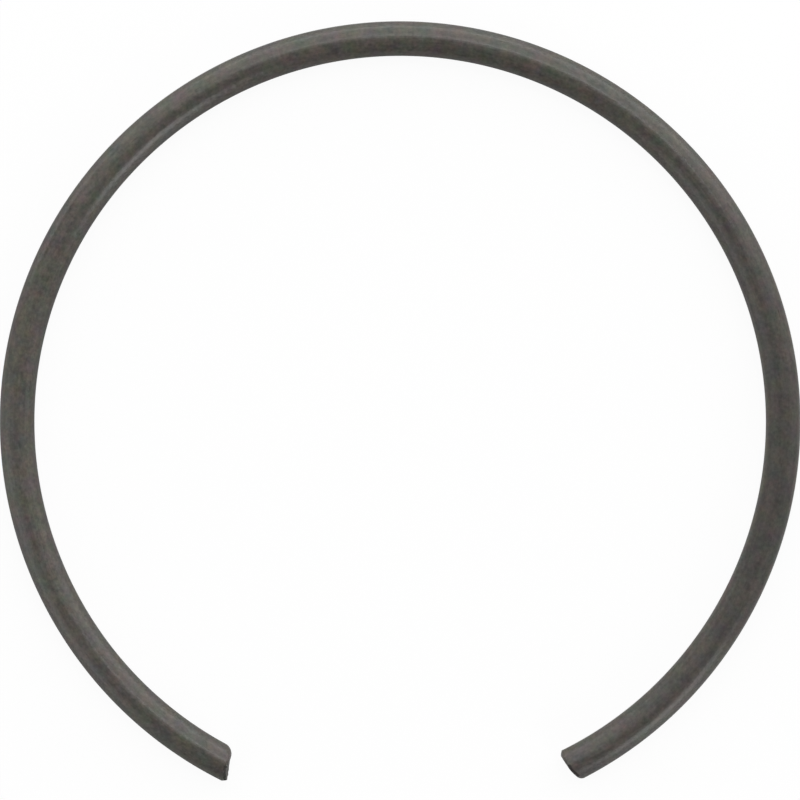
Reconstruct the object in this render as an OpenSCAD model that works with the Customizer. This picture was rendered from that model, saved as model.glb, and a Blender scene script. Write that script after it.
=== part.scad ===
// Round-wire circlip for a groove inside a bore.
// One length of round spring wire is rolled to a circle and sheared off at both ends. It is squeezed
// smaller, let go in the groove, and the outer round of the wire seats there by its own spring.
// The ring's axis is +Z, the gap faces -Y, and the origin is the ring's centre at mid-wire.

/* [Ring] */
// Outer diameter of the ring, free
outer_d = 74; // [60:0.5:160]
// Diameter of the round wire
wire_d = 3.2; // [2:0.1:4]
// Angle that the gap spans, at the wire's centre line
gap_angle = 52.6; // [20:0.1:120]

/* [Sheared ends] */
// Slant of the outer half of each cut, from a radial line
outer_slant = 21; // [2:0.5:30]
// Slant of the inner half of each cut, from a radial line
inner_slant = 7; // [0:0.5:15]
// Lean of the outer half, which sets its upper edge back
outer_lean = 2; // [0:0.5:12]
// Lean of the inner half, which sets its upper edge back
inner_lean = 1; // [0:0.5:12]
// How far outside the wire's centre line the right cut changes its slant
right_kink = 0.45; // [0:0.05:0.6]
// Radius of the rolled inner corner on the left end
left_roll_r = 0.75; // [0.1:0.05:0.8]
// Radius of the rolled outer corner on the right end
right_roll_r = 0.5; // [0.1:0.05:0.8]
// Length along the wire of the bevel on the left end's tip
left_tip_length = 0.5; // [0.05:0.05:0.8]
// Width across the cut of the bevel on the left end's tip
left_tip_width = 0.25; // [0.05:0.05:0.5]
// Length along the wire of the bevel on the right end's tip
right_tip_length = 0.25; // [0.05:0.05:0.8]
// Width across the cut of the bevel on the right end's tip
right_tip_width = 0.45; // [0.05:0.05:0.5]

/* [Hidden] */
$fn = 96;
ring_fn = 360;
steel_grey = [0.34, 0.335, 0.315];
wire_r = wire_d / 2;
mean_r = outer_d / 2 - wire_r;
// Which side of the wire a corner is on, as a sign along the radius
outside = 1;
inside = -1;
// Radius at which each cut changes its slant
left_kink_r = mean_r;
right_kink_r = mean_r + right_kink;
// Where the two ends are, as angles from +X
left_end = 270 - gap_angle / 2;
right_end = gap_angle / 2 - 90;
// The wire is rolled longer than the ring by this angle at each end, and the shears take it off
spare_angle = asin(wire_r / mean_r);
// How far a cutting tool reaches past the wire's centre line
reach = 1.5 * wire_d;

// The wire as it leaves the rolls, with spare length at both ends
module rolled_wire() {
    rotate([0, 0, right_end - spare_angle])
        rotate_extrude(angle = 360 - gap_angle + 2 * spare_angle, $fn = ring_fn)
            translate([mean_r, 0])
                circle(r = wire_r);
}

// The next modules work in the frame of one end: X is the radius, Y points into the gap, and the
// wire's centre line passes through [mean_r, 0, 0].

// Turns what is built on an upright radial cut to the slant and lean of a real one
module on_cut(kink_r, slant, lean) {
    translate([kink_r, 0, 0])
        rotate([0, 0, slant])
            rotate([lean, 0, 0])
                children();
}

// The space on the +Y side of a flat
module past_flat() {
    translate([-reach, 0, -reach])
        cube([2 * reach, reach, 2 * reach]);
}

// The space past one of the two flats of a cut
module past_cut(kink_r, slant, lean) {
    on_cut(kink_r, slant, lean)
        past_flat();
}

// What is missing at a rolled corner: the wedge outside a round that touches both the wire's side
// and the cut. The round's centre is found from its distance to each.
module rolled_corner(side, kink_r, slant, lean, r) {
    centre_r = mean_r + side * (wire_r - r);
    centre_angle = slant - asin((r + kink_r * sin(slant)) / centre_r);
    to_side = centre_angle + (side == outside ? 0 : 180);
    to_cut = slant + 90;
    wedge = [for (a = [to_side, (to_side + to_cut) / 2, to_cut]) reach * [cos(a), sin(a)]];
    on_cut(kink_r, slant, lean)
        rotate([0, 0, -slant])
            translate([centre_r * cos(centre_angle) - kink_r, centre_r * sin(centre_angle), -reach])
                linear_extrude(2 * reach)
                    difference() {
                        polygon(concat([[0, 0]], wedge));
                        circle(r = r);
                    }
}

// What is missing at a crisp corner: a flat that starts some length back on the wire's side and
// ends some width in on the cut
module bevelled_corner(side, kink_r, slant, lean, length, width) {
    side_r = mean_r + side * wire_r;
    corner = sqrt(pow(side_r, 2) - pow(kink_r * sin(slant), 2)) - kink_r * cos(slant);
    turn = atan2(-side * length * cos(slant), width - side * length * sin(slant));
    on_cut(kink_r, slant, lean)
        translate([corner - side * width, 0, 0])
            rotate([0, 0, turn])
                past_flat();
}

// On the left end the blade pressed on the inner side and broke out through the outer side
module left_shear() {
    intersection() {
        past_cut(left_kink_r, outer_slant, outer_lean);
        past_cut(left_kink_r, inner_slant, inner_lean);
    }
    rolled_corner(inside, left_kink_r, inner_slant, inner_lean, left_roll_r);
    bevelled_corner(outside, left_kink_r, outer_slant, outer_lean, left_tip_length, left_tip_width);
}

// On the right end, the other side of the same kind of cut, it is the other way round
module right_shear() {
    past_cut(right_kink_r, -outer_slant, outer_lean);
    past_cut(right_kink_r, -inner_slant, inner_lean);
    rolled_corner(outside, right_kink_r, -outer_slant, outer_lean, right_roll_r);
    bevelled_corner(inside, right_kink_r, -inner_slant, inner_lean, right_tip_length, right_tip_width);
}

module wire_ring() {
    color(steel_grey)
        difference() {
            rolled_wire();
            rotate([0, 0, left_end])
                left_shear();
            rotate([0, 0, right_end])
                mirror([0, 1, 0])
                    right_shear();
        }
}

wire_ring();
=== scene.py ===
# %% [markdown]
# # A round-wire circlip, from bare frame to finished picture
#
# The real ring is one length of round spring wire. It is drawn through a die, rolled to a circle,
# sheared off at both ends, then phosphated and oiled, which leaves it a dark, warm, half-matt grey.
# Once the camera, the table and the lights stand, the scene follows the same order: wire, circle,
# cuts, finish.

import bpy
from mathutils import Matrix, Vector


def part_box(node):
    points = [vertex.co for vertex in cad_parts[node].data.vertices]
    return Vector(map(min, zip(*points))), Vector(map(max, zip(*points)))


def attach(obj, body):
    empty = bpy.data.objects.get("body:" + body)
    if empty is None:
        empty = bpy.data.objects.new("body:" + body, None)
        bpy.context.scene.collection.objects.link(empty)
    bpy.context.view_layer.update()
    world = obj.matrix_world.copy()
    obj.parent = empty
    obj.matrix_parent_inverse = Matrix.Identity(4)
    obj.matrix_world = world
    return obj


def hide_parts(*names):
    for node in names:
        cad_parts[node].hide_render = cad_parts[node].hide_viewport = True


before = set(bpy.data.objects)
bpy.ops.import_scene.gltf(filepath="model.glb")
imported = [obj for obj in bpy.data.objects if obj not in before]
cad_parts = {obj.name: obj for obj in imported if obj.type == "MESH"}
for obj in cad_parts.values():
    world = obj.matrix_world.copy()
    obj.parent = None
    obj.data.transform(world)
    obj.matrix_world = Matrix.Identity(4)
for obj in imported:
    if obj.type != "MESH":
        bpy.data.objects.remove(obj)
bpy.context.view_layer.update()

# %% [markdown]
# ## The sizes
#
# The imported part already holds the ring's outer diameter and the wire's thickness, so both are read
# from its box. The gap repeats the part's own. The two cuts, further down, follow the part's too, but
# each has its slants and rounds matched once more to the photograph. Everything is in metres.

# %% Sizes of the ring
import math

import bpy
import numpy as np

MM = 0.001
ring_low, ring_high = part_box("wire_ring")
wire_r = (ring_high.z - ring_low.z) / 2
mean_r = ring_high.x - wire_r
gap_angle = math.radians(52.6)
left_end = math.radians(270) - gap_angle / 2
right_end = math.radians(-90) + gap_angle / 2
print(f"wire {2 * wire_r / MM:.2f} mm thick, rolled to a mean radius of {mean_r / MM:.2f} mm")

# %% [markdown]
# ## The camera
#
# The photograph looks straight down on the ring, with no tilt that could be measured, so the lens is
# a long one from high above. The ring just fills the picture from left to right and sits a little
# low in it, and it is turned by a third of a degree. Moving and turning the camera does all three.

# %% Camera
PICTURE_PX = 800
RING_WIDTH_PX = 800.6
RING_CENTRE_PX = (400.15, 421.6)
px = 2 * (mean_r + wire_r) / RING_WIDTH_PX
camera_roll = math.radians(0.35)

scene = bpy.context.scene
camera_data = bpy.data.cameras.new("camera")
camera_data.lens = 200
camera_data.sensor_width = 36
camera = bpy.data.objects.new("camera", camera_data)
scene.collection.objects.link(camera)
scene.camera = camera

right = np.array([math.cos(camera_roll), math.sin(camera_roll)])
up = np.array([-math.sin(camera_roll), math.cos(camera_roll)])
aim = px * ((PICTURE_PX / 2 - RING_CENTRE_PX[0]) * right + (RING_CENTRE_PX[1] - PICTURE_PX / 2) * up)
camera_height = PICTURE_PX * px * camera_data.lens / camera_data.sensor_width
camera.location = (aim[0], aim[1], camera_height)
camera.rotation_euler = (0, 0, camera_roll)
print(f"camera {camera_height / MM:.0f} mm up, over {aim / MM} mm")

# %% [markdown]
# ## Nodes in a few words
#
# The table, the room and both finishes are made of shader nodes. Written out one by one, their links
# would hide what they are for. So four helpers do the wiring: one adds a node, one links a socket or
# writes a number into it, and two do sums, with values and with vectors or colours.


# %% Node helpers
def add_node(tree, kind, **settings):
    """A new node with its settings."""
    node = tree.nodes.new(kind)
    for key, value in settings.items():
        setattr(node, key, value)
    return node


def feed(tree, socket, value):
    """Links a socket, or writes a number or colour into it."""
    if isinstance(value, bpy.types.NodeSocket):
        tree.links.new(value, socket)
    else:
        socket.default_value = value


def sums(tree, operation, *values, clamp=False):
    """One Math node, fed with sockets or numbers."""
    node = add_node(tree, "ShaderNodeMath", operation=operation, use_clamp=clamp)
    for socket, value in zip(node.inputs, values):
        feed(tree, socket, value)
    return node.outputs[0]


def vectors(tree, operation, first, second, slot=1):
    """One Vector Math node, fed with sockets or numbers."""
    node = add_node(tree, "ShaderNodeVectorMath", operation=operation)
    feed(tree, node.inputs[0], first)
    feed(tree, node.inputs[slot], second)
    return node.outputs[0]


print("helpers:", [helper.__name__ for helper in (add_node, feed, sums, vectors)])

# %% [markdown]
# ## The table
#
# A white table with a polished top. A plain white material would need more light on the ring to look
# white, so most of its white comes from Light Path instead, and the light stays low. The camera
# sees nearly all of it as glow and the rest as lit white, which leaves a faint shadow. To other
# rays the table is grey. Gloss on the wire sees a little of the glow and the rest as it is lit:
# bright towards the far side, where the polish throws the low light on, and dark towards the near
# side. That is why the inner side of the far stretch is dark.

# %% Table
TABLE_SIZE = 12.0
TABLE_GLOW = {"Is Camera Ray": 0.94, "Is Glossy Ray": 0.15, "Is Transmission Ray": 0.15}
TABLE_GREY = 0.5
TABLE_WHITE = 1.0
TABLE_ROUGHNESS = 0.3
TABLE_GLOSS = 1.0
WHITE = (1, 1, 1, 1)

scene.view_settings.view_transform = "Standard"
half = TABLE_SIZE / 2
corners = [(x, y, ring_low.z) for x, y in ((-half, -half), (half, -half), (half, half), (-half, half))]
table_mesh = bpy.data.meshes.new("table")
table_mesh.from_pydata(corners, [], [(0, 1, 2, 3)])
table = bpy.data.objects.new("table", table_mesh)
scene.collection.objects.link(table)


def by_ray(tree, for_camera, for_others):
    """One value for what the camera sees directly and another for all other rays."""
    path = add_node(tree, "ShaderNodeLightPath")
    pick = add_node(tree, "ShaderNodeMapRange")
    feed(tree, pick.inputs["Value"], path.outputs["Is Camera Ray"])
    feed(tree, pick.inputs["To Min"], for_others)
    feed(tree, pick.inputs["To Max"], for_camera)
    return pick.outputs["Result"]


def glow_share(tree):
    """How much of the table glows, for the kind of ray that meets it."""
    path = add_node(tree, "ShaderNodeLightPath")
    total = 0.0
    for ray, share in TABLE_GLOW.items():
        total = sums(tree, "MULTIPLY_ADD", path.outputs[ray], share, total, clamp=True)
    return total


def table_material():
    """Polished white, with part of its white glowing for the rays that are to see it white."""
    material = bpy.data.materials.new("table_white")
    material.use_nodes = True
    tree = material.node_tree
    tree.nodes.clear()
    polished = add_node(tree, "ShaderNodeBsdfPrincipled")
    feed(tree, polished.inputs["Base Color"], by_ray(tree, TABLE_WHITE, TABLE_GREY))
    feed(tree, polished.inputs["Roughness"], TABLE_ROUGHNESS)
    feed(tree, polished.inputs["Specular IOR Level"], TABLE_GLOSS)
    glow = add_node(tree, "ShaderNodeEmission")
    feed(tree, glow.inputs["Color"], WHITE)
    mix = add_node(tree, "ShaderNodeMixShader")
    for socket, value in zip(mix.inputs, (glow_share(tree), polished.outputs[0], glow.outputs[0])):
        feed(tree, socket, value)
    out = add_node(tree, "ShaderNodeOutputMaterial")
    feed(tree, out.inputs["Surface"], mix.outputs[0])
    return material


table_mesh.materials.append(table_material())
print("table at", round(ring_low.z / MM, 3), "mm")

# %% [markdown]
# ## The room
#
# What the table doesn't fill of the picture is the room behind it. The camera sees it white, and all
# other rays find it nearly dark, so that nearly all the light on the ring comes from the panels.

# %% Room
ROOM_WHITE = 1.0
ROOM_LEVEL = 0.05
scene.world = bpy.data.worlds.new("room")
scene.world.use_nodes = True
room = scene.world.node_tree
room_light = room.nodes["Background"]
feed(room, room_light.inputs["Color"], WHITE)
feed(room, room_light.inputs["Strength"], by_ray(room, ROOM_WHITE, ROOM_LEVEL))
print("room light level", ROOM_LEVEL)

# %% [markdown]
# ## The lights
#
# Light on a round wire can be read off its width, because every point across it faces another way.
# The outer half of the far stretch is light as far as its edge, and the inner half is dark up to the
# crown. So most of the light comes from the far side: a wide wall of it, brighter low down, with two
# bright strips high up, which draw the sharp line along the crown. A thin streak on the inner side
# at the upper left, and one on the outer side at the lower right, give away a lamp at the lower
# right. Weak fills to the left and the right light the two ends. Each panel is given by what the
# ring sees of it: its bearing, its height and its spread in degrees, and how bright it looks.

# %% Lights
PANEL_AWAY = 1.0


def panel(name, clock, low, high, spread, brightness):
    """A flat soft panel that faces the ring. Clock is its bearing in degrees, clockwise from +Y."""
    bearing, rise = math.radians(clock), math.radians((low + high) / 2)
    width = 2 * PANEL_AWAY * math.cos(rise) * math.tan(math.radians(spread / 2))
    height = 2 * PANEL_AWAY * math.tan(math.radians((high - low) / 2))
    data = bpy.data.lights.new(name, "AREA")
    data.shape = "RECTANGLE"
    data.size = width
    data.size_y = height
    data.energy = brightness * math.pi * width * height
    lamp = bpy.data.objects.new(name, data)
    scene.collection.objects.link(lamp)
    lamp.location = (
        PANEL_AWAY * math.sin(bearing) * math.cos(rise),
        PANEL_AWAY * math.cos(bearing) * math.cos(rise),
        PANEL_AWAY * math.sin(rise),
    )
    lamp.rotation_euler = (-lamp.location).to_track_quat("-Z", "Y").to_euler()
    print(f"{name}: {width:.2f} x {height:.2f} m, {data.energy:.1f} W")


panel("far_wall", clock=8, low=2, high=66, spread=104, brightness=1.63)
panel("far_strip", clock=33, low=65, high=73, spread=40, brightness=8.0)
panel("far_high", clock=350, low=62, high=74, spread=40, brightness=3.8)
panel("far_low", clock=15, low=2, high=13, spread=116, brightness=2.1)
panel("far_left", clock=304, low=2, high=13, spread=30, brightness=2.9)
panel("near_wide", clock=137, low=5, high=39, spread=22, brightness=5.0)
panel("left_fill", clock=251, low=5, high=45, spread=60, brightness=1.1)
panel("left_low", clock=243, low=3, high=20, spread=50, brightness=1.05)
panel("left_high", clock=270, low=40, high=70, spread=60, brightness=0.65)
panel("right_fill", clock=78, low=4, high=34, spread=60, brightness=1.0)
panel("right_high", clock=104, low=34, high=68, spread=50, brightness=0.38)

# %% [markdown]
# ## The wire as a swept round
#
# The ring could be a torus primitive with a piece cut out, but a boolean leaves slivers where the
# cuts are, just where the eye goes. Here the skin of the wire is laid row by row, so that the rows
# crowd together towards each end, turn over its corner and run on across the cut face to its middle.
# Each point is described on the straight wire first: how far round the circle it is, how far
# outward and how far up from the wire's centre line. Rolling then bends all of it to the circle.

# %% Rolling the wire
AROUND = 80
ROW_STEP = 0.4 * MM
END_STEP = 0.05 * MM
STEP_GROWTH = 1.12
SPRUNG_OUT = 0.06 * MM
SPRUNG_FROM = (math.radians(108), math.radians(152))
section = np.arange(AROUND) * 2 * math.pi / AROUND
side_outward, side_rise = wire_r * np.cos(section), wire_r * np.sin(section)


def eased(value, low, high):
    """0 below low, 1 above high and a smooth rise between."""
    share = np.clip((value - low) / (high - low), 0, 1)
    return share * share * (3 - 2 * share)


def rolled(angle, outward, rise):
    """Points of the straight wire, bent to the circle. The ends spring out a little from the rolls."""
    from_top = np.abs(angle - math.pi / 2)
    radius = mean_r + outward + SPRUNG_OUT * eased(from_top, *SPRUNG_FROM)
    return np.stack([radius * np.cos(angle), radius * np.sin(angle), rise], axis=-1)


def row_places():
    """Angles of the rows from one end to the other, close together near both ends."""
    span = (left_end - right_end) * mean_r
    steps = []
    step = END_STEP
    while step < ROW_STEP:
        steps.append(step)
        step *= STEP_GROWTH
    middle = span - 2 * sum(steps)
    count = math.ceil(middle / ROW_STEP)
    steps = steps + [middle / count] * count + steps[::-1]
    return right_end + np.concatenate([[0], np.cumsum(steps)]) / mean_r


print(len(row_places()), "rows of", AROUND, "points along the wire")

# %% [markdown]
# ## The cuts
#
# Both ends were sheared the same way from one coil, so they are the two sides of one cut shape. The
# blade first rolls the edge over, then slides through and leaves a smooth band, and at about half
# way the rest of the wire breaks. The break runs off at another slant, which gives the kink that
# the photograph shows at mid-wire. On the left end the rolled edge is the inner one and on the
# right end the outer one. A height function for each end is simpler to shape than a solid cutter:
# it says how far the face reaches into the gap at each point of the section.

# %% Roughness of a torn surface
RIPPLE_WAVES = 28
RIPPLE_SPREAD = (0.6, 1.7)


def ripple(points, wavelength, seed):
    """Uneven height of about -1 to 1 at each point: plane waves in random directions, added up."""
    draw = np.random.default_rng(seed)
    directions = draw.normal(size=(RIPPLE_WAVES, points.shape[-1]))
    directions /= np.linalg.norm(directions, axis=1, keepdims=True)
    lengths = wavelength * draw.uniform(*RIPPLE_SPREAD, RIPPLE_WAVES)
    phases = draw.uniform(0, 2 * math.pi, RIPPLE_WAVES)
    turns = points @ directions.T * 2 * math.pi / lengths + phases
    return np.sin(turns).sum(axis=-1) / math.sqrt(2 * RIPPLE_WAVES)


sample = ripple(np.arange(100)[:, None] / 10, wavelength=1.0, seed=1)
print(f"a ripple runs from {sample.min():.2f} to {sample.max():.2f}")

# %% Shape of one cut
OUTER, INNER = 0, 1
KINK_SOFT = 0.04 * MM
TORN_BLEND = 0.1 * MM
# Each layer of tears has a height and a length
TEARS = ((0.03 * MM, 0.55 * MM), (0.009 * MM, 0.16 * MM))
SLIDE_HEIGHT, SLIDE_SPACING = 0.004 * MM, 0.2 * MM
SHADE_BLEND = 0.1 * MM
# A painted dark hairline along the very edge of a cut, a painted shade.
HAIRLINE = 0.5
HAIRLINE_BACK, HAIRLINE_IN = 0.06 * MM, 0.15 * MM
EDGE_BLEND = (-0.2 * MM, 0.4 * MM)
CORNER_FOCUS = 1.5
TIP_SQUARE = 0.8


def between(value, low, high, blend):
    """1 from low to high and 0 outside, with a soft step at both."""
    return eased(value, low - blend, low + blend) * (1 - eased(value, high - blend, high + blend))


class Cut:
    """One sheared end. A positive hand leans its outer side into the gap, a negative one away.

    Kink is where across the wire the slant changes, and back is how far that point stays out of the
    gap. Slants, leans and edges, which are the rounds of the plain edge, are given for the outer half
    and then the inner one. The rolled corner has the radius roll_r, and the tip a length and a width.
    Band is where the painted edge shade lies, counted back from the face, and shade_part where it
    lies across the wire.
    """

    def __init__(self, hand, kink, back, slants, leans, edges, roll_r, tip, band, shade_part, seed):
        self.hand = hand
        self.kink = kink
        self.back = back
        self.slants = slants
        self.leans = leans
        self.edges = edges
        self.roll_r = roll_r
        self.tip = tip
        self.band = band
        self.shade_part = shade_part
        self.seed = seed

    def torn(self, outward):
        """0 on the smooth band that the blade slid past, 1 where the wire broke."""
        return eased(self.hand * (outward - self.kink), -TORN_BLEND, TORN_BLEND)

    def flat(self, outward, rise, which):
        """Reach into the gap of one of the cut's two flats, the outer one or the inner one."""
        slant, lean = math.radians(self.slants[which]), math.radians(self.leans[which])
        across = self.hand * (outward - self.kink) * math.tan(slant)
        return across - rise * math.tan(lean) / math.cos(slant) - self.back

    def reach(self, outward, rise):
        """How far the face stands into the gap, with its tears and its slide marks."""
        outer, inner = self.flat(outward, rise, OUTER), self.flat(outward, rise, INNER)
        bend = np.sqrt((outer - inner) ** 2 + KINK_SOFT**2)
        face = (outer + inner + self.hand * bend) / 2
        spot = np.stack([outward, rise], axis=-1)
        tears = sum(high * ripple(spot, long, self.seed + k) for k, (high, long) in enumerate(TEARS))
        slides = SLIDE_HEIGHT * ripple(rise[..., None], SLIDE_SPACING, self.seed + len(TEARS))
        torn = self.torn(outward)
        return face + tears * torn + slides * (1 - torn)

    def edge_shaded(self, outward, back, inward=0.0):
        """Share of painted shade by the edge, some way back from the face or in across it: a band on part
        of the section and a painted dark hairline at the very edge elsewhere.
        """
        band = between(back, *self.band, SHADE_BLEND)
        part = between(outward, *self.shade_part, SHADE_BLEND)
        hairline = HAIRLINE * (1 - eased(back, 0, HAIRLINE_BACK)) * (1 - eased(inward, 0, HAIRLINE_IN))
        return part * band + (1 - part) * hairline

    def corner(self, turns):
        """How far each row of the corner stays back, and how far it is in from the wire's side."""
        facing = self.hand * np.cos(section)
        roll, tip = (np.clip(side, 0, 1) ** CORNER_FOCUS for side in (-facing, facing))
        outer, inner = self.edges
        edge = inner + (outer - inner) * eased(side_outward, *EDGE_BLEND)
        along, across = (edge + (self.roll_r - edge) * roll + (size - edge) * tip for size in self.tip)
        power = 1 + TIP_SQUARE * tip
        back = along * (1 - np.sin(turns)[:, None] ** power)
        inward = across * (1 - np.cos(turns)[:, None] ** power)
        return back, inward


left_cut = Cut(
    hand=1, kink=0.0, back=0.01 * MM, slants=(22, 7), leans=(3, 1), edges=(0.34 * MM, 0.12 * MM),
    roll_r=0.85 * MM, tip=(0.5 * MM, 0.26 * MM), band=(0.05 * MM, 0.24 * MM),
    shade_part=(0, 2 * MM), seed=11,
)
right_cut = Cut(
    hand=-1, kink=0.45 * MM, back=0.05 * MM, slants=(20, 7), leans=(3, 1), edges=(0.2 * MM, 0.1 * MM),
    roll_r=0.42 * MM, tip=(0.32 * MM, 0.45 * MM), band=(-0.1 * MM, 0.24 * MM),
    shade_part=(-0.3 * MM, 1.15 * MM), seed=23,
)
left_reach = left_cut.reach(side_outward, side_rise)
print(f"left face reaches from {left_reach.min() / MM:.2f} to {left_reach.max() / MM:.2f} mm into the gap")

# %% [markdown]
# ## Rows of one end
#
# From the side of the wire inward: the corner is a quarter round whose radius changes round the
# section, then the face is a set of shrinking rows, closed by one point in the middle. Each row
# also says how much painted edge shade it has. On a face that painted shade begins at a ragged line.

# %% End rows
CORNER_ROWS = 9
FACE_ROWS = 16
RAGGED = 0.12 * MM
# Each wave has its radians per millimetre, its start and its share of the height
RAGGED_WAVES = ((4.1, 1.0, 1.0), (11.0, 0.0, 0.5))


def ragged(rise):
    """How far the line where the painted edge shade begins strays sideways, at each height on the face."""
    return RAGGED * sum(share * np.sin(turn * rise / MM + start) for turn, start, share in RAGGED_WAVES)


def end_rows(cut):
    """Rows from the wire's side over the corner and in across the face: where they are, and their painted
    edge shade.
    """
    rows = []
    for back, inward in zip(*cut.corner(np.linspace(0, math.pi / 2, CORNER_ROWS))):
        radius = wire_r - inward
        outward, rise = radius * np.cos(section), radius * np.sin(section)
        rows.append((outward, rise, cut.reach(outward, rise) - back, cut.edge_shaded(outward, back)))
    rim = wire_r - inward
    for share in np.linspace(1, 0, FACE_ROWS, endpoint=False)[1:]:
        outward, rise = share * rim * np.cos(section), share * rim * np.sin(section)
        edge_shaded = cut.edge_shaded(outward + ragged(rise), 0 * rise, (1 - share) * rim)
        rows.append((outward, rise, cut.reach(outward, rise), edge_shaded))
    return rows


print(len(end_rows(left_cut)), "rows turn over each end")

# %% [markdown]
# ## The whole skin
#
# The rows of the side have to start where each end's corner starts, which is further along at some
# points of the section than at others. The difference fades out over a few millimetres, so the
# rows in the middle of the wire stand square to it.

# %% Skin of the wire
FADE = 5 * MM


def gap_angle_of(outward, reach):
    """The turn about the ring's axis that a reach into the gap makes at that radius."""
    return np.arctan2(reach, mean_r + outward)


def side_rows():
    """Rows along the wire's side, from the right end to the left one, as points."""
    starts = {cut: end_rows(cut)[0][2] for cut in (left_cut, right_cut)}
    rows = []
    for place in row_places():
        to_right = (place - right_end) * mean_r / FADE
        to_left = (left_end - place) * mean_r / FADE
        angle = np.full(AROUND, place)
        for cut, away, sense in ((right_cut, to_right, -1), (left_cut, to_left, 1)):
            near = 1 - eased(away, 0, 1)
            angle = angle + sense * near * gap_angle_of(side_outward, starts[cut])
        rows.append(rolled(angle, side_outward, side_rise))
    return rows


def face_points(cut, end, sense):
    """Rows over one end's corner and across its face, and its middle point, as points."""
    rows = []
    for outward, rise, reach, _ in end_rows(cut)[1:]:
        rows.append(rolled(end + sense * gap_angle_of(outward, reach), outward, rise))
    zero = np.zeros(1)
    middle = gap_angle_of(zero, cut.reach(zero, zero))
    return rows, rolled(end + sense * middle, zero, zero)


right_rows, right_middle = face_points(right_cut, right_end, -1)
left_rows, left_middle = face_points(left_cut, left_end, 1)
wire_rows = side_rows()
rows = right_rows[::-1] + wire_rows + left_rows
print(len(rows), "rows in all")


# %% Ring mesh
def ring_mesh():
    """The closed skin as a mesh: quads between the rows, a fan at each end, all facing outward."""
    points = np.concatenate(rows + [right_middle, left_middle])
    first, last = len(points) - 2, len(points) - 1
    faces = []
    for row in range(len(rows) - 1):
        here, there = row * AROUND, (row + 1) * AROUND
        for k in range(AROUND):
            n = (k + 1) % AROUND
            faces.append((here + k, there + k, there + n, here + n))
    far = (len(rows) - 1) * AROUND
    for k in range(AROUND):
        n = (k + 1) % AROUND
        faces.append((first, k, n))
        faces.append((last, far + n, far + k))
    mesh = bpy.data.meshes.new("spring_ring")
    mesh.from_pydata(points.tolist(), [], faces)
    mesh.shade_smooth()
    return mesh


ring = bpy.data.objects.new("spring_ring", ring_mesh())
scene.collection.objects.link(ring)
print(len(ring.data.polygons), "faces,", len(ring.data.vertices), "points")

# %% [markdown]
# ## What the mesh tells the finishes
#
# The cut faces get a finish of their own, so each face of the mesh names its slot: 0 for the wire
# and its corners, 1 for the cuts. The painted shade by the edges of the cuts depends on the distance
# from a cut, which no texture coordinate gives, so the mesh carries it as an attribute of its points.


# %% Slots and painted edge shade
def set_slots(mesh):
    """Wire finish on the side and the corners, cut finish on both faces."""
    corner, face = [0] * (CORNER_ROWS - 1), [1] * (FACE_ROWS - 1)
    by_row = face + corner + [0] * (len(wire_rows) - 1) + corner + face
    fans = [1] * (2 * AROUND)
    slots = np.concatenate([np.repeat(by_row, AROUND), fans])
    mesh.polygons.foreach_set("material_index", slots.astype(np.int32))


def side_edge_shade(place):
    """Share of painted edge shade round the wire at one row of its side, counted from both cuts."""
    share = 0
    for cut, away in ((right_cut, place - right_end), (left_cut, left_end - place)):
        corner_length = cut.corner(np.zeros(1))[0][0]
        share = share + cut.edge_shaded(side_outward, corner_length + away * mean_r)
    return share


def set_painted_edge_shade(mesh):
    """Writes every point's share of painted edge shade, in the order of the mesh's points, and returns it.
    """
    # The last value of each end row is its share of painted edge shade.
    right_end_shade, left_end_shade = ([coat for *_, coat in end_rows(cut)[1:]] for cut in (right_cut, left_cut))
    middles = [cut.edge_shaded(np.zeros(1), np.zeros(1), wire_r) for cut in (right_cut, left_cut)]
    along_wire = [side_edge_shade(place) for place in row_places()]
    shares = np.concatenate(right_end_shade[::-1] + along_wire + left_end_shade + middles)
    mesh.attributes.new("painted_edge_shade", "FLOAT", "POINT").data.foreach_set("value", shares)
    return shares


set_slots(ring.data)
# Counts the points that lie more than half under the painted edge shade.
print(f"thick coat on {(set_painted_edge_shade(ring.data) > 0.5).sum()} points")

# %% [markdown]
# ## Groups in a few words
#
# The two finishes share several effects, so each effect is a node group, built once. One helper
# opens a new group with named sockets, one places a group in a material with its values, and one
# moves a noise to lie about zero, so that it can be added to something without changing its level.

# %% Group helpers
FLOAT, VECTOR, COLOUR = "NodeSocketFloat", "NodeSocketVector", "NodeSocketColor"


def new_group(name, inputs, outputs):
    """An empty node group, its input node and its output node."""
    tree = bpy.data.node_groups.new(name, "ShaderNodeTree")
    for label, kind, value in inputs:
        socket = tree.interface.new_socket(name=label, in_out="INPUT", socket_type=kind)
        if value is not None:
            socket.default_value = value
    for label, kind in outputs:
        tree.interface.new_socket(name=label, in_out="OUTPUT", socket_type=kind)
    return tree, add_node(tree, "NodeGroupInput"), add_node(tree, "NodeGroupOutput")


def use_group(tree, group, **values):
    """A node that runs the group, fed by input name (with _ for a space)."""
    node = add_node(tree, "ShaderNodeGroup", node_tree=group)
    for label, value in values.items():
        feed(tree, node.inputs[label.replace("_", " ")], value)
    return node


def centred(tree, noise):
    """A noise, which runs from 0 to 1, moved so that it lies about 0."""
    return sums(tree, "SUBTRACT", noise, 0.5)


print("helpers:", [helper.__name__ for helper in (new_group, use_group, centred)])

# %% [markdown]
# ## Where a point lay on the straight wire
#
# Drawing lines run along the wire because the die made them before it was rolled. So the pattern is
# laid on the straight wire: this group unrolls a point of the ring, in millimetres. The angle is
# taken from the top of the ring, which puts the place where it jumps into the gap.


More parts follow.
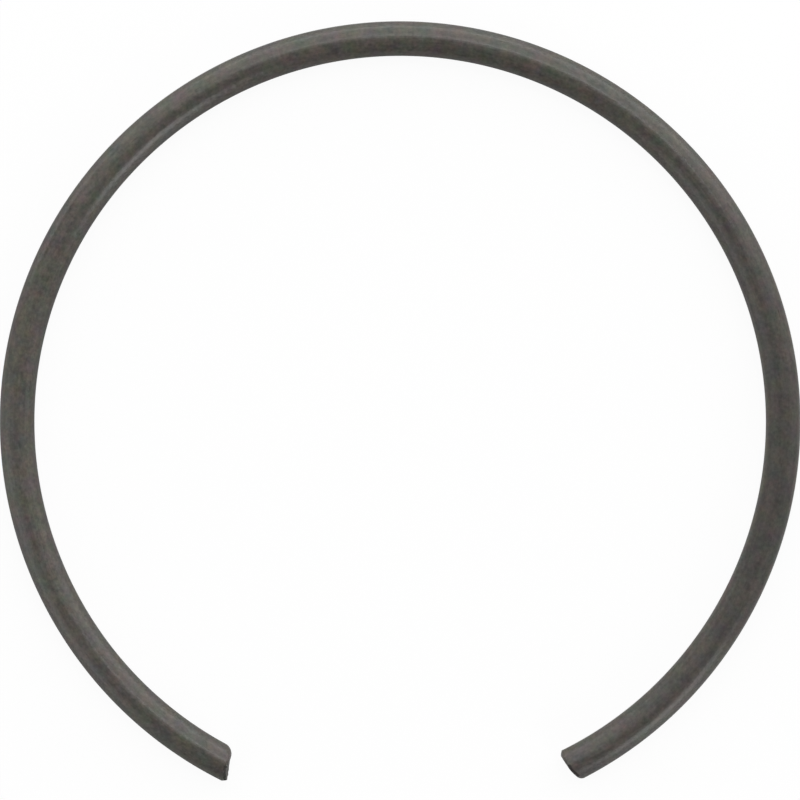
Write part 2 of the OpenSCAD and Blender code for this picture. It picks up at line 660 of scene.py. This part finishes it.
# %% Group: straight wire
def straight_wire():
    """Unrolls the ring: along, outward and up, in millimetres."""
    tree, _, out = new_group("straight_wire", [], [("Point", VECTOR)])
    place = add_node(tree, "ShaderNodeTexCoord")
    split = add_node(tree, "ShaderNodeSeparateXYZ")
    feed(tree, split.inputs[0], place.outputs["Object"])
    x, y, z = (sums(tree, "DIVIDE", split.outputs[axis], MM) for axis in "XYZ")
    squares = sums(tree, "ADD", sums(tree, "MULTIPLY", x, x), sums(tree, "MULTIPLY", y, y))
    radius = sums(tree, "SQRT", squares)
    join = add_node(tree, "ShaderNodeCombineXYZ")
    feed(tree, join.inputs["X"], sums(tree, "MULTIPLY", sums(tree, "ARCTAN2", x, y), mean_r / MM))
    feed(tree, join.inputs["Y"], sums(tree, "SUBTRACT", radius, mean_r / MM))
    feed(tree, join.inputs["Z"], z)
    feed(tree, out.inputs["Point"], join.outputs[0])
    return tree


straight_wire_group = straight_wire()
print("group:", straight_wire_group.name)

# %% [markdown]
# ## The phosphate coat
#
# Phosphating grows fine crystals on the steel and the oil soaks into them. Close up it is a fine
# grain, and from further off soft clouds, each of another faint tint, where the coat is thicker or
# thinner. The clouds come from the colour output of one noise, whose three channels are
# independent, so every tint turns up. A finer noise makes the grain, as a shade and as a height,
# and a middle one the shallow waves that the rolls left in the skin.

# %% Group: phosphate coat
CLOUD_SHADE = 0.35
CLOUD_DETAIL, GRAIN_DETAIL, WAVE_DETAIL = 4, 3, 1
NOISE_ROUGHNESS = 0.6


def phosphate_coat():
    """Clouded colour, and the heights of crystal grain and of shallow waves."""
    tree, data, out = new_group(
        "phosphate_coat",
        [
            ("Point", VECTOR, None),
            ("Colour", COLOUR, (0.1, 0.1, 0.1, 1)),
            ("Tint", VECTOR, (0.5, 0.5, 0.5)),
            ("Cloud size", FLOAT, 2.0),
            ("Grain size", FLOAT, 0.3),
            ("Grain", FLOAT, 0.5),
            ("Wave size", FLOAT, 1.0),
        ],
        [("Colour", COLOUR), ("Grain", FLOAT), ("Clouds", FLOAT), ("Waves", FLOAT)],
    )

    def noise(size, detail):
        """A noise node with patches of about that size."""
        node = add_node(tree, "ShaderNodeTexNoise")
        feed(tree, node.inputs["Detail"], detail)
        feed(tree, node.inputs["Roughness"], NOISE_ROUGHNESS)
        feed(tree, node.inputs["Vector"], data.outputs["Point"])
        feed(tree, node.inputs["Scale"], sums(tree, "DIVIDE", 1.0, size))
        return node

    clouds = noise(data.outputs["Cloud size"], CLOUD_DETAIL)
    grain = noise(data.outputs["Grain size"], GRAIN_DETAIL).outputs[0]
    waves = noise(data.outputs["Wave size"], WAVE_DETAIL).outputs[0]
    tint = vectors(tree, "SUBTRACT", clouds.outputs["Color"], (0.5, 0.5, 0.5))
    tint = vectors(tree, "MULTIPLY", tint, data.outputs["Tint"])
    tint = vectors(tree, "ADD", tint, (1, 1, 1))
    shade = sums(tree, "MULTIPLY_ADD", centred(tree, grain), data.outputs["Grain"], 1.0)
    shade = sums(tree, "MULTIPLY_ADD", centred(tree, clouds.outputs[0]), CLOUD_SHADE, shade)
    colour = vectors(tree, "MULTIPLY", data.outputs["Colour"], tint)
    feed(tree, out.inputs["Colour"], vectors(tree, "SCALE", colour, shade, slot="Scale"))
    feed(tree, out.inputs["Grain"], grain)
    feed(tree, out.inputs["Clouds"], clouds.outputs[0])
    feed(tree, out.inputs["Waves"], waves)
    return tree


phosphate_group = phosphate_coat()
print("group:", phosphate_group.name)

# %% [markdown]
# ## Marks that run one way
#
# The die scores the wire along its length, and the shear scores the cut face along the blade's
# travel. Both are one noise, pulled long in one direction, so one group serves both.

# %% Group: pulled marks
MARK_DETAIL = 3


def pulled_marks():
    """Fine scores: a noise squeezed across and pulled long along the point's X."""
    tree, data, out = new_group(
        "pulled_marks",
        [("Point", VECTOR, None), ("Length", FLOAT, 12.0), ("Spacing", FLOAT, 0.12)],
        [("Marks", FLOAT)],
    )
    split = add_node(tree, "ShaderNodeSeparateXYZ")
    feed(tree, split.inputs[0], data.outputs["Point"])
    join = add_node(tree, "ShaderNodeCombineXYZ")
    for axis, size in (("X", "Length"), ("Y", "Spacing"), ("Z", "Spacing")):
        feed(tree, join.inputs[axis], sums(tree, "DIVIDE", split.outputs[axis], data.outputs[size]))
    noise = add_node(tree, "ShaderNodeTexNoise")
    feed(tree, noise.inputs["Scale"], 1.0)
    feed(tree, noise.inputs["Detail"], MARK_DETAIL)
    feed(tree, noise.inputs["Vector"], join.outputs[0])
    feed(tree, out.inputs["Marks"], noise.outputs[0])
    return tree


marks_group = pulled_marks()
print("group:", marks_group.name)

# %% [markdown]
# ## What both finishes need
#
# Both are the same coat with other values: a colour made lighter and darker, a roughness that is a
# plain value with a share of each effect on top, a bump from several heights, and the painted edge
# shade that the mesh carries, a painted shade by the cuts. It is feathered with the scores.

# %% Finish helpers
EDGE_SHADE_DARKER = 0.6
EDGE_SHADE_ROUGHER = 0.3
EDGE_SHADE_STEP = (0.2, 0.7)
FEATHERS = 1.8
BUMP_HEIGHT = 0.03 * MM


def grey(red, green, blue):
    """A colour as seen on screen, 0 to 255, turned into the linear light that shaders use."""
    linear = [
        c / 12.92 if c <= 0.04045 else ((c + 0.055) / 1.055) ** 2.4
        for c in (red / 255, green / 255, blue / 255)
    ]
    return (*linear, 1)


def new_finish(name, gloss):
    """A new material with a Principled shader: the material, its tree and the shader."""
    material = bpy.data.materials.new(name)
    material.use_nodes = True
    tree = material.node_tree
    shader = tree.nodes["Principled BSDF"]
    feed(tree, shader.inputs["Specular IOR Level"], gloss)
    return material, tree, shader


def ramp(tree, value, low, high, at_low=0.0, at_high=1.0):
    """A smooth change from at_low to at_high as the value goes from low to high."""
    node = add_node(tree, "ShaderNodeMapRange", interpolation_type="SMOOTHSTEP")
    labels = ("Value", "From Min", "From Max", "To Min", "To Max")
    for label, given in zip(labels, (value, low, high, at_low, at_high)):
        feed(tree, node.inputs[label], given)
    return node.outputs["Result"]


def mixture(tree, plain, *parts, clamp=False):
    """A plain value with parts added to it, each a pair of a value and its share."""
    total = plain
    for value, share in parts:
        total = sums(tree, "MULTIPLY_ADD", value, share, total, clamp=clamp)
    return total


def lit(tree, colour, *factors):
    """A colour made lighter or darker by each factor in turn."""
    for factor in factors:
        colour = vectors(tree, "SCALE", colour, factor, slot="Scale")
    return colour


def painted_edge_shade(tree, streak):
    """Share of the painted edge shade, which the mesh carries, feathered along the scores."""
    share = add_node(tree, "ShaderNodeAttribute", attribute_name="painted_edge_shade").outputs["Fac"]
    return ramp(tree, mixture(tree, share, (streak, FEATHERS)), *EDGE_SHADE_STEP)


def bumped(tree, shader, *heights):
    """Heights, each a pair of a value and its share of the bump, into the shader's normal."""
    bump = add_node(tree, "ShaderNodeBump")
    feed(tree, bump.inputs["Strength"], 1.0)
    feed(tree, bump.inputs["Distance"], BUMP_HEIGHT)
    feed(tree, bump.inputs["Height"], mixture(tree, 0.0, *heights))
    feed(tree, shader.inputs["Normal"], bump.outputs[0])


print("a grey of 77 on screen is", round(grey(77, 77, 77)[0], 3), "in linear light")

# %% [markdown]
# ## The finish of the wire
#
# The coat's colour is darker and lighter along the drawing lines. Its roughness follows the lines and
# the clouds, and its bump is crystal grain, scores and the waves from the rolls, which are deeper on
# the inner side, where bending presses the skin together. The coat is half matt, so the lights show
# on it as soft bands. The oil that stayed on it is a thin film of its own, the shader's coat,
# smoother than what it lies on: it gives a light's edge as a crisp thin line.
#
# The flanks are painted darker than the crown, a painted shade, and are a little rougher. Only the
# right side is the other way round: there the crown is painted darker and rougher, also a painted
# shade, while its flanks keep the full colour.

# %% Wire finish
WIRE_COLOUR = grey(77, 74, 68)
WIRE_TINT = (0.86, 0.74, 0.62)
STREAK_CONTRAST = 0.5
CROWN_STEP = (0.25, 0.75)
PAINTED_FLANK_SHADE = 0.8
RIGHT_SHADE_AT = math.radians(100)
RIGHT_SHADE_FOCUS = 3.0
RIGHT_CROWN_SHADE = 0.33
OIL = 0.3
OIL_ROUGHNESS = 0.2
WAVES_STEP = (-0.9, -0.1)
WAVES_INSIDE, WAVES_OUTSIDE = 1.8, 1.2


def phosphated_wire():
    """Dark half-matt coat over drawn wire."""
    material, tree, shader = new_finish("phosphated_wire", gloss=0.35)
    point = use_group(tree, straight_wire_group).outputs["Point"]
    coat = use_group(tree, phosphate_group, Point=point, Colour=WIRE_COLOUR, Tint=WIRE_TINT,
                     Cloud_size=1.5, Grain_size=0.34, Grain=1.25, Wave_size=0.85)
    marks = use_group(tree, marks_group, Point=point, Length=2.0, Spacing=0.2).outputs["Marks"]
    streak = centred(tree, marks)
    shaded = painted_edge_shade(tree, streak)
    split = add_node(tree, "ShaderNodeSeparateXYZ")
    feed(tree, split.inputs[0], point)

    height = sums(tree, "DIVIDE", sums(tree, "ABSOLUTE", split.outputs["Z"]), wire_r / MM)
    crown = ramp(tree, height, *CROWN_STEP)
    # Painted shade on the crown of the right side, which is also made rougher there.
    from_right_shade = sums(tree, "MULTIPLY_ADD", split.outputs["X"], MM / mean_r, -RIGHT_SHADE_AT)
    facing = sums(tree, "MAXIMUM", sums(tree, "COSINE", from_right_shade), 0.0)
    right_side = sums(tree, "POWER", facing, RIGHT_SHADE_FOCUS)
    clear_of_flank_shade = sums(tree, "MAXIMUM", crown, right_side)
    painted_right_shade = sums(tree, "MULTIPLY", right_side, crown)

    # Painted shade in the colour: darker flanks, a darker crown on the right side and darker edges by the
    # cuts.
    colour = lit(tree, coat.outputs["Colour"],
                 mixture(tree, 1.0, (streak, STREAK_CONTRAST)),
                 mixture(tree, PAINTED_FLANK_SHADE, (clear_of_flank_shade, 1 - PAINTED_FLANK_SHADE)),
                 mixture(tree, 1.0, (painted_right_shade, -RIGHT_CROWN_SHADE)),
                 mixture(tree, 1.0, (shaded, -EDGE_SHADE_DARKER)))
    feed(tree, shader.inputs["Base Color"], colour)
    rough = mixture(tree, 0.35, (coat.outputs["Clouds"], 0.24), (clear_of_flank_shade, -0.1), (streak, 0.25),
                    (painted_right_shade, 0.12), (shaded, EDGE_SHADE_ROUGHER), clamp=True)
    feed(tree, shader.inputs["Roughness"], rough)
    oil = sums(tree, "MULTIPLY", sums(tree, "SUBTRACT", coat.outputs["Clouds"], shaded), OIL, clamp=True)
    feed(tree, shader.inputs["Coat Weight"], oil)
    feed(tree, shader.inputs["Coat Roughness"], OIL_ROUGHNESS)
    wavy = ramp(tree, split.outputs["Y"], *WAVES_STEP, WAVES_INSIDE, WAVES_OUTSIDE)
    waves = sums(tree, "MULTIPLY", coat.outputs["Waves"], wavy)
    bumped(tree, shader, (marks, 0.35), (coat.outputs["Grain"], 0.2), (waves, 1.0))
    return material


ring.data.materials.append(phosphated_wire())
print("wire finish:", ring.data.materials[0].name)

# %% [markdown]
# ## The finish of the cuts
#
# The ring was coated after it was cut, so the cuts have the same coat, but it lies on another
# ground: fine scores run across it, along the blade's travel. By the edges of the cuts the colour is
# painted darker, a painted shade, and the roughness is higher, most on the outer halves.

# %% Cut finish
CUT_COLOUR = grey(74, 72, 67)
CUT_TINT = (0.76, 0.68, 0.6)


def sheared_face():
    """The same coat on scored steel."""
    material, tree, shader = new_finish("sheared_face", gloss=0.25)
    point = use_group(tree, straight_wire_group).outputs["Point"]
    split = add_node(tree, "ShaderNodeSeparateXYZ")
    feed(tree, split.inputs[0], point)
    turned = add_node(tree, "ShaderNodeCombineXYZ")
    for axis, source in zip("XYZ", "YZX"):
        feed(tree, turned.inputs[axis], split.outputs[source])
    coat = use_group(tree, phosphate_group, Point=point, Colour=CUT_COLOUR, Tint=CUT_TINT,
                     Cloud_size=0.9, Grain_size=0.14, Grain=1.4, Wave_size=0.5)
    marks = use_group(tree, marks_group, Point=turned.outputs[0], Length=1.6, Spacing=0.06).outputs["Marks"]
    streak = centred(tree, marks)
    shaded = painted_edge_shade(tree, streak)
    # Colour with painted shade, darker by the edges of the cuts.
    colour = lit(tree, coat.outputs["Colour"],
                 mixture(tree, 1.0, (streak, 1.0)),
                 mixture(tree, 1.0, (shaded, -EDGE_SHADE_DARKER)))
    feed(tree, shader.inputs["Base Color"], colour)
    feed(tree, shader.inputs["Roughness"], mixture(tree, 0.45, (shaded, EDGE_SHADE_ROUGHER), clamp=True))
    bumped(tree, shader, (marks, 0.4), (coat.outputs["Grain"], 0.6))
    return material


ring.data.materials.append(sheared_face())
print("cut finish:", ring.data.materials[1].name)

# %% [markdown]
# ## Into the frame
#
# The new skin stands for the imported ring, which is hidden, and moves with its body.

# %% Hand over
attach(ring, "root")
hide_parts("wire_ring")
